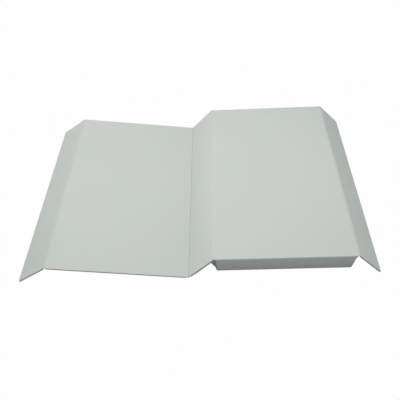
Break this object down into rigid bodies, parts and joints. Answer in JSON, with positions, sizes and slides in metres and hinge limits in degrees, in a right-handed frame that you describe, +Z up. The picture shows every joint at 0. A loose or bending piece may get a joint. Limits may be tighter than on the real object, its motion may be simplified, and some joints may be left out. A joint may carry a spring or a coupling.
{
  "type": "collapsible magnetic gift box",
  "caption": "Fold-flat rigid gift box, opened out face down: base, spine, lid and magnet flap in line, front wall, side walls and corner webs.",
  "frame": {"origin": "on the surface the box lies on, under the middle of its box", "axes": "+X across the folds, from the flap to the front wall; +Y along the folds; +Z up, out of the base panel's outside face"},
  "size_m": [0.3876, 0.264, 0.0305],
  "materials": {
    "wrap_paper": "matte, pale grey-white wrapping paper",
    "lining_paper": "matte lining paper",
    "greyboard": "raw greyboard",
    "magnet": "nickel-plated disc",
    "steel": "plain steel disc"
  },
  "bodies": {
    "base": {"base_board": "greyboard", "base_wrap": "wrap_paper", "base_lining": "lining_paper"},
    "spine": {"spine_board": "greyboard", "spine_wrap": "wrap_paper", "spine_lining": "lining_paper", "near_spine_glued_web": "wrap_paper", "far_spine_glued_web": "wrap_paper"},
    "lid": {"lid_board": "greyboard", "lid_wrap": "wrap_paper", "lid_lining": "lining_paper"},
    "flap": {"flap_board": "greyboard", "flap_wrap": "wrap_paper", "flap_lining": "lining_paper", "flap_magnets": "magnet"},
    "front_wall": {"front_wall_board": "greyboard", "front_wall_wrap": "wrap_paper", "front_wall_lining": "lining_paper", "front_steel_discs": "steel", "near_front_glued_web": "wrap_paper", "far_front_glued_web": "wrap_paper"},
    "near_side_wall": {"near_side_wall_board": "greyboard", "near_side_wall_wrap": "wrap_paper", "near_side_wall_lining": "lining_paper"},
    "far_side_wall": {"far_side_wall_board": "greyboard", "far_side_wall_wrap": "wrap_paper", "far_side_wall_lining": "lining_paper"},
    "near_spine_web": {"near_spine_web": "wrap_paper"},
    "near_front_web": {"near_front_web": "wrap_paper"},
    "far_spine_web": {"far_spine_web": "wrap_paper"},
    "far_front_web": {"far_front_web": "wrap_paper"}
  },
  "joints": [
    {"name": "front_fold", "type": "hinge", "parent": "base", "child": "front_wall", "pos_m": [0.16812, 0, 0.03054], "axis": [0, 1, 0], "range_deg": [-46.6, 43.4]},
    {"name": "spine_fold", "type": "hinge", "parent": "base", "child": "spine", "pos_m": [0.01812, 0, 0.03054], "axis": [0, -1, 0], "range_deg": [-46.65, 43.45]},
    {"name": "lid_fold", "type": "hinge", "parent": "spine", "child": "lid", "pos_m": [-0.00902, 0, 0.00184], "axis": [0, -1, 0], "range_deg": [-35.4, 144.6]},
    {"name": "flap_fold", "type": "hinge", "parent": "lid", "child": "flap", "pos_m": [-0.16092, 0, 0.02319], "axis": [0, -1, 0], "range_deg": [-41.35, 48.65]},
    {"name": "near_side_fold", "type": "hinge", "parent": "base", "child": "near_side_wall", "pos_m": [0.09312, -0.1301, 0.02864], "axis": [1, 0, 0], "range_deg": [-18.05, 19.38]},
    {"name": "far_side_fold", "type": "hinge", "parent": "base", "child": "far_side_wall", "pos_m": [0.09312, 0.1301, 0.02864], "axis": [-1, 0, 0], "range_deg": [-18.05, 19.38]},
    {"name": "near_spine_web_fold", "type": "hinge", "parent": "near_side_wall", "child": "near_spine_web", "pos_m": [0.02172, -0.1301, 0.02864], "axis": [0, 0.309, -0.9511], "range_deg": [-46.65, 43.45]},
    {"name": "near_front_web_fold", "type": "hinge", "parent": "near_side_wall", "child": "near_front_web", "pos_m": [0.16452, -0.1301, 0.02864], "axis": [0, -0.309, 0.9511], "range_deg": [-46.65, 43.45]},
    {"name": "far_spine_web_fold", "type": "hinge", "parent": "far_side_wall", "child": "far_spine_web", "pos_m": [0.02172, 0.1301, 0.02864], "axis": [0, 0.309, 0.9511], "range_deg": [-46.65, 43.45]},
    {"name": "far_front_web_fold", "type": "hinge", "parent": "far_side_wall", "child": "far_front_web", "pos_m": [0.16452, 0.1301, 0.02864], "axis": [0, -0.309, -0.9511], "range_deg": [-46.65, 43.45]}
  ],
  "couplings": [
    {"joint": "spine_fold", "follows": "front_fold", "ratio": 1},
    {"joint": "near_side_fold", "follows": "front_fold", "ratio": -0.41469},
    {"joint": "far_side_fold", "follows": "front_fold", "ratio": -0.41469},
    {"joint": "near_spine_web_fold", "follows": "front_fold", "ratio": 1},
    {"joint": "near_front_web_fold", "follows": "front_fold", "ratio": 1},
    {"joint": "far_spine_web_fold", "follows": "front_fold", "ratio": 1},
    {"joint": "far_front_web_fold", "follows": "front_fold", "ratio": 1}
  ]
}
